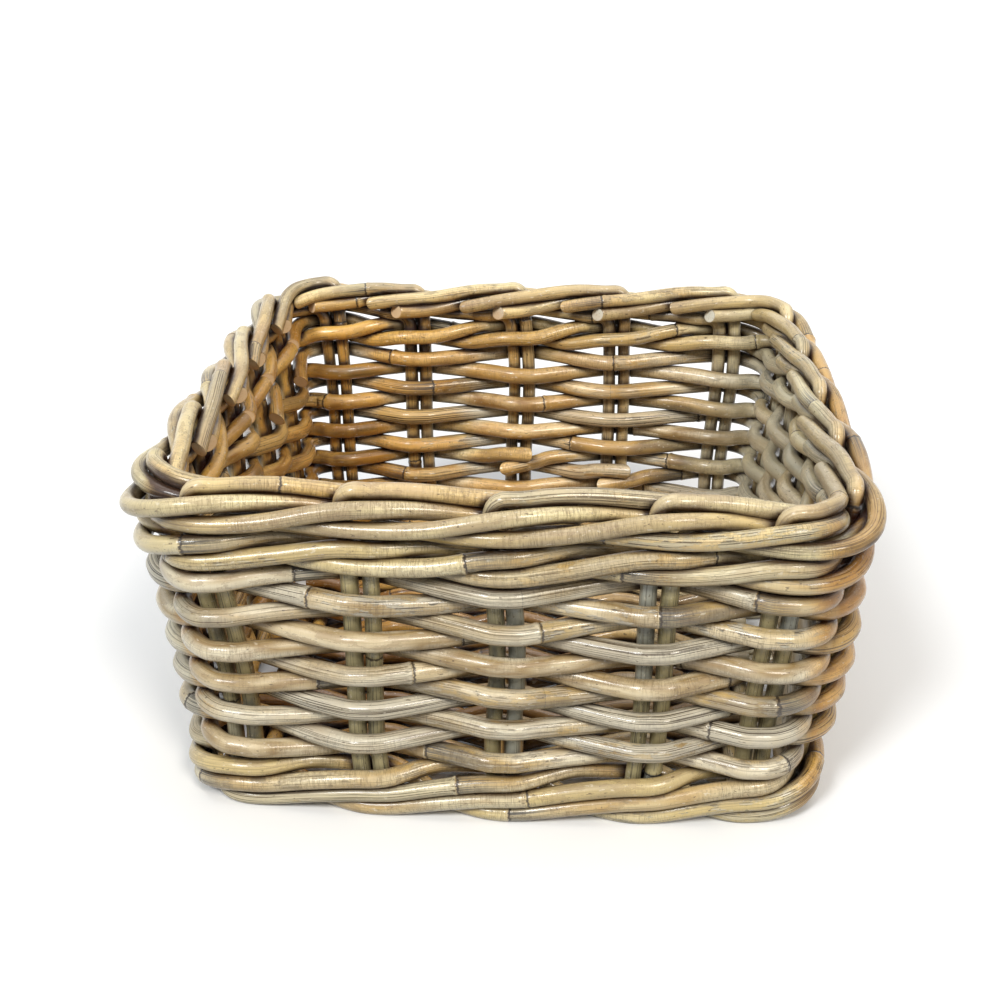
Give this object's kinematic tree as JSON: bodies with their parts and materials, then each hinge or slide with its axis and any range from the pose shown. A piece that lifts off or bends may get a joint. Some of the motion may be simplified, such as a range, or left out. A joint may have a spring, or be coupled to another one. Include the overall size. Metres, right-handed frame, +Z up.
{
  "type": "square rattan basket",
  "caption": "Open square storage basket woven from round rattan rods, with sloping sides, waled foot and rim, and a rolled border.",
  "frame": {"origin": "centre of the base on the floor", "axes": "+Z up out of the basket's mouth, +X along the front wall to the right, +Y from the front wall to the back wall"},
  "size_m": [0.4036, 0.4008, 0.2033],
  "materials": {
    "weaver_rattan": "natural rattan with its skin on, satin",
    "wale_rattan": "natural rattan with its skin on, satin",
    "stake_rattan": "natural greyish rattan with its skin on, satin",
    "base_rattan": "natural rattan, dull"
  },
  "bodies": {
    "root": {"base_rod_1": "base_rattan", "base_rod_10": "base_rattan", "base_rod_11": "base_rattan", "base_rod_12": "base_rattan", "base_rod_13": "base_rattan", "base_rod_14": "base_rattan", "base_rod_15": "base_rattan", "base_rod_16": "base_rattan", "base_rod_17": "base_rattan", "base_rod_18": "base_rattan", "base_rod_19": "base_rattan", "base_rod_2": "base_rattan", "base_rod_20": "base_rattan", "base_rod_3": "base_rattan", "base_rod_4": "base_rattan", "base_rod_5": "base_rattan", "base_rod_6": "base_rattan", "base_rod_7": "base_rattan", "base_rod_8": "base_rattan", "base_rod_9": "base_rattan", "bottom_wale_rod_1": "wale_rattan", "bottom_wale_rod_2": "wale_rattan", "bottom_wale_rod_3": "wale_rattan", "bottom_wale_rod_4": "wale_rattan", "first_weaver_length_1": "weaver_rattan", "first_weaver_length_2": "weaver_rattan", "first_weaver_length_3": "weaver_rattan", "front_back_stake_1_left": "stake_rattan", "front_back_stake_1_right": "stake_rattan", "front_back_stake_2_left": "stake_rattan", "front_back_stake_2_right": "stake_rattan", "front_back_stake_3_left": "stake_rattan", "front_back_stake_3_right": "stake_rattan", "front_back_stake_4_left": "stake_rattan", "front_back_stake_4_right": "stake_rattan", "front_back_stake_5_left": "stake_rattan", "front_back_stake_5_right": "stake_rattan", "second_weaver_length_1": "weaver_rattan", "second_weaver_length_2": "weaver_rattan", "second_weaver_length_3": "weaver_rattan", "side_stake_1_front": "stake_rattan", "side_stake_1_rear": "stake_rattan", "side_stake_2_front": "stake_rattan", "side_stake_2_rear": "stake_rattan", "side_stake_3_front": "stake_rattan", "side_stake_3_rear": "stake_rattan", "side_stake_4_front": "stake_rattan", "side_stake_4_rear": "stake_rattan", "side_stake_5_front": "stake_rattan", "side_stake_5_rear": "stake_rattan", "top_wale_rod_1": "wale_rattan", "top_wale_rod_2": "wale_rattan", "top_wale_rod_3": "wale_rattan"}
  },
  "joints": []
}
